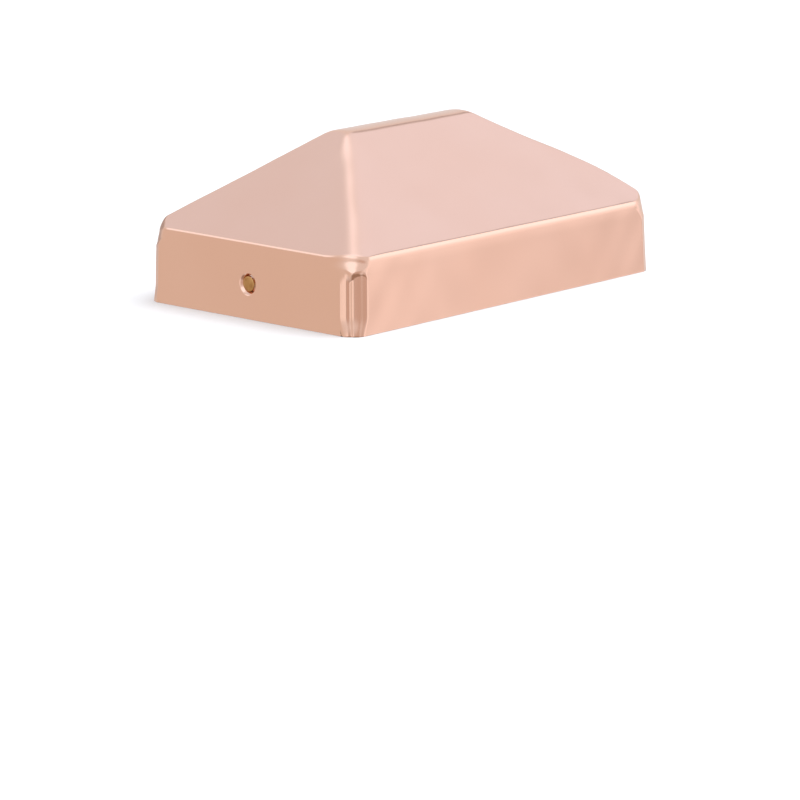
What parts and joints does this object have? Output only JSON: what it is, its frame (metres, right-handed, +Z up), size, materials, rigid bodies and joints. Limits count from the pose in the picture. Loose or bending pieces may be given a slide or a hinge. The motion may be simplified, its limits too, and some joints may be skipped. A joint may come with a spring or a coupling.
{
  "type": "fence post cap",
  "caption": "Hip-roofed sheet-copper cap that fits over the top of a rectangular timber fence post and is nailed through its end walls.",
  "frame": {"origin": "centre of the rim plane, where the cap's open edge stands on a flat surface", "axes": "+X along the ridge and the long walls, +Y across the ridge, +Z up through the roof"},
  "size_m": [0.1444, 0.0924, 0.0552],
  "materials": {
    "copper_sheet": "bright satin copper sheet, unlacquered and untarnished",
    "bronze_nail": "plain silicon bronze wire, lightly toned"
  },
  "bodies": {
    "cap": {"cap_shell": "copper_sheet"},
    "left_nail": {"left_nail": "bronze_nail"},
    "right_nail": {"right_nail": "bronze_nail"}
  },
  "joints": [
    {"name": "left_nail_pull", "type": "slide", "parent": "cap", "child": "left_nail", "axis": [-1, 0, 0], "range_m": [0, 0.03]},
    {"name": "right_nail_pull", "type": "slide", "parent": "cap", "child": "right_nail", "axis": [1, 0, 0], "range_m": [0, 0.03]}
  ]
}
